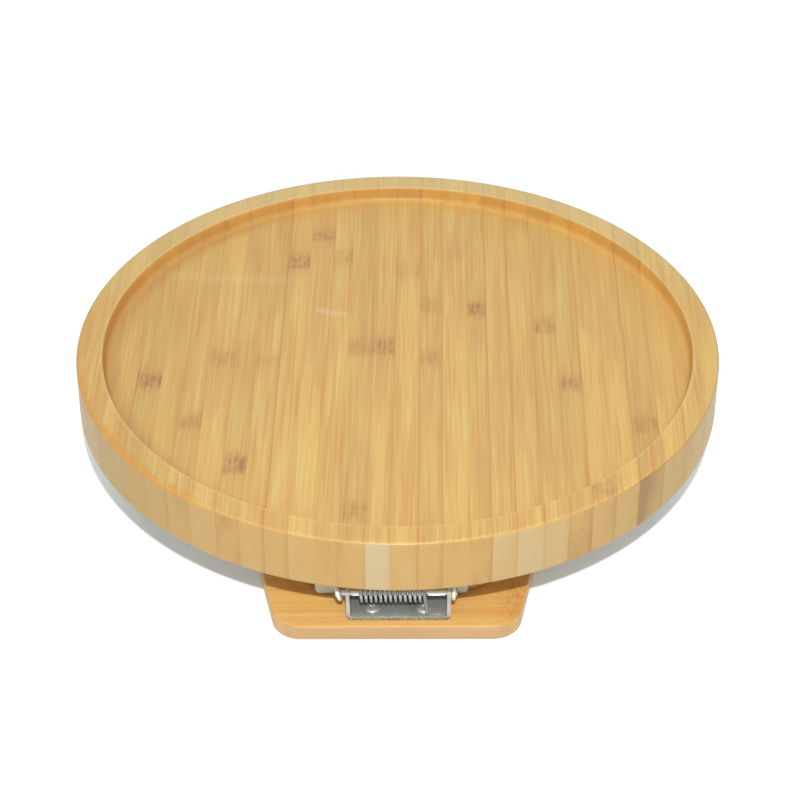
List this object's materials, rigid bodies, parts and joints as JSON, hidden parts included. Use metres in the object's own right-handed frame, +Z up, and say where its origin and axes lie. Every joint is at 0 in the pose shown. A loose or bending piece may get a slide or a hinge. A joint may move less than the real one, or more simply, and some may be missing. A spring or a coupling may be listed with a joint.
{
  "type": "clip-on swivel tray",
  "caption": "Round bamboo tray with a raised rim that swivels on a base board with spring-hinged bamboo clamp wings folded flat under it.",
  "frame": {"origin": "on the swivel axis, on the plane of the folded wings' undersides that the part lies on", "axes": "+Z up along the swivel axis; -Y towards the front clamp; +X to the right seen from the front"},
  "size_m": [0.25, 0.2514, 0.044],
  "materials": {
    "tray_bamboo": "satin clear-coated laminated bamboo",
    "wing_bamboo": "satin clear-coated bamboo board",
    "base_bamboo": "satin clear-coated bamboo board",
    "nickel_plate": "bright nickel-plated steel sheet",
    "zinc_sheet": "satin zinc-plated steel sheet",
    "pin_steel": "polished nickel-plated steel",
    "spring_steel": "bright plated spring wire",
    "screw_steel": "plated steel",
    "ball_steel": "polished steel",
    "nylon": "natural nylon"
  },
  "bodies": {
    "base": {"base_board": "base_bamboo", "swivel_lower_plate": "zinc_sheet", "ball_cage": "nylon", "centre_rivet": "zinc_sheet", "ball_1": "ball_steel", "ball_2": "ball_steel", "ball_3": "ball_steel", "ball_4": "ball_steel", "ball_5": "ball_steel", "ball_6": "ball_steel", "ball_7": "ball_steel", "ball_8": "ball_steel", "ball_9": "ball_steel", "ball_10": "ball_steel", "ball_11": "ball_steel", "ball_12": "ball_steel", "plate_screw_1": "screw_steel", "plate_screw_2": "screw_steel", "plate_screw_3": "screw_steel", "plate_screw_4": "screw_steel", "front_base_bracket": "zinc_sheet", "front_bracket_screw_1": "screw_steel", "front_bracket_screw_2": "screw_steel", "front_hinge_pin": "pin_steel", "front_spring": "spring_steel", "rear_base_bracket": "zinc_sheet", "rear_bracket_screw_1": "screw_steel", "rear_bracket_screw_2": "screw_steel", "rear_hinge_pin": "pin_steel", "rear_spring": "spring_steel"},
    "tray": {"tray": "tray_bamboo", "swivel_upper_plate": "zinc_sheet", "tray_screw_1": "screw_steel", "tray_screw_2": "screw_steel", "tray_screw_3": "screw_steel", "tray_screw_4": "screw_steel"},
    "front_wing": {"front_wing": "wing_bamboo", "front_wing_bracket": "nickel_plate", "front_wing_screw_1": "screw_steel", "front_wing_screw_2": "screw_steel"},
    "rear_wing": {"rear_wing": "wing_bamboo", "rear_wing_bracket": "nickel_plate", "rear_wing_screw_1": "screw_steel", "rear_wing_screw_2": "screw_steel"}
  },
  "joints": [
    {"name": "tray_swivel", "type": "hinge", "parent": "base", "child": "tray", "pos_m": [0, 0, 0.018], "axis": [0, 0, 1], "continuous": true},
    {"name": "front_clamp_hinge", "type": "hinge", "parent": "base", "child": "front_wing", "pos_m": [0, -0.1151, 0.0136], "axis": [-1, 0, 0], "range_deg": [0, 75], "stiffness_Nm_per_rad": 0.126, "springref_deg": -137.51, "deforming": ["front_spring"]},
    {"name": "rear_clamp_hinge", "type": "hinge", "parent": "base", "child": "rear_wing", "pos_m": [0, 0.1151, 0.0136], "axis": [1, 0, 0], "range_deg": [0, 75], "stiffness_Nm_per_rad": 0.126, "springref_deg": -137.51, "deforming": ["rear_spring"]}
  ]
}
